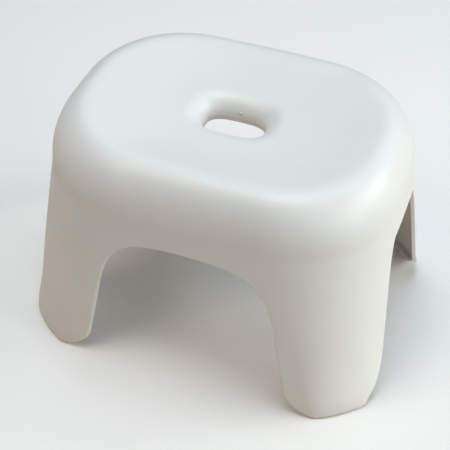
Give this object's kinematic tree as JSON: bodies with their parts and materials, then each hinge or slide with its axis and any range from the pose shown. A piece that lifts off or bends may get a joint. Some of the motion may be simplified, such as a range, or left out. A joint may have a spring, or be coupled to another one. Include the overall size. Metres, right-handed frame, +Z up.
{
  "type": "shower stool",
  "caption": "Low moulded plastic bathing stool with a dished oblong seat, a hand hole, arched open sides and splayed legs on soft anti-slip pads.",
  "frame": {"origin": "on the floor under the middle of the seat, at the bottom centre of the stool", "axes": "+Z up; +X along the long side of the seat, to the sitter's side; +Y across the seat, towards the back"},
  "size_m": [0.3304, 0.2498, 0.219],
  "materials": {
    "shell": "satin moulded polypropylene, white",
    "pads": "matt thermoplastic rubber, light grey"
  },
  "bodies": {
    "root": {"seat_shell": "shell", "foot_pad_front_right": "pads", "foot_pad_back_right": "pads", "foot_pad_back_left": "pads", "foot_pad_front_left": "pads"}
  },
  "joints": []
}
